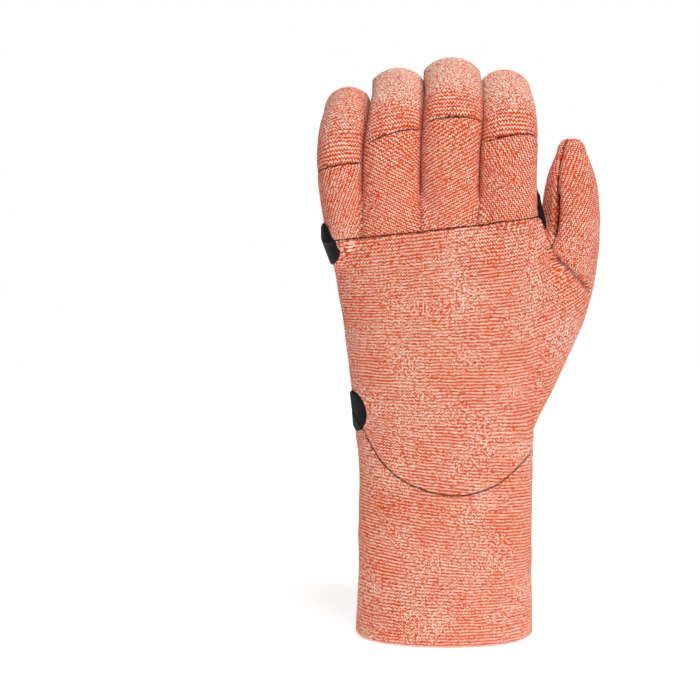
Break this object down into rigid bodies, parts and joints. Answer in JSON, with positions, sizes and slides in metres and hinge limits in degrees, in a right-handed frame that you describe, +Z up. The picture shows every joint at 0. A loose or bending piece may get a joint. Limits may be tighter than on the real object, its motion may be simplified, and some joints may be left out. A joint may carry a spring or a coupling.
{
  "type": "diving glove",
  "caption": "Thick neoprene diving glove for the left hand, with a knitted two-tone face, pre-curved fingers and a long cuff.",
  "frame": {"origin": "centre of the cuff's opening, in the plane of its rim", "axes": "+Z up the hand towards the fingertips, -Y out of the back of the hand, +Y out of the palm, +X towards the thumb"},
  "size_m": [0.1424, 0.0794, 0.2902],
  "materials": {
    "knit": "heathered orange and cream knit over neoprene foam",
    "black_neoprene": "matt smooth-skin neoprene",
    "patch": "matt heat-pressed tape"
  },
  "bodies": {
    "root": {"cuff": "knit", "back_panel": "knit", "palm_panel": "knit", "little_finger_back": "knit", "ring_finger_back": "knit", "middle_finger_back": "knit", "index_finger_back": "knit", "little_fingertip": "knit", "ring_fingertip": "knit", "middle_fingertip": "knit", "index_fingertip": "knit", "wrist_panel": "black_neoprene", "thumb_side_wrist_patch": "patch", "little_side_wrist_patch": "patch", "little_side_knuckle_patch": "patch", "index_side_knuckle_patch": "patch"}
  },
  "joints": []
}
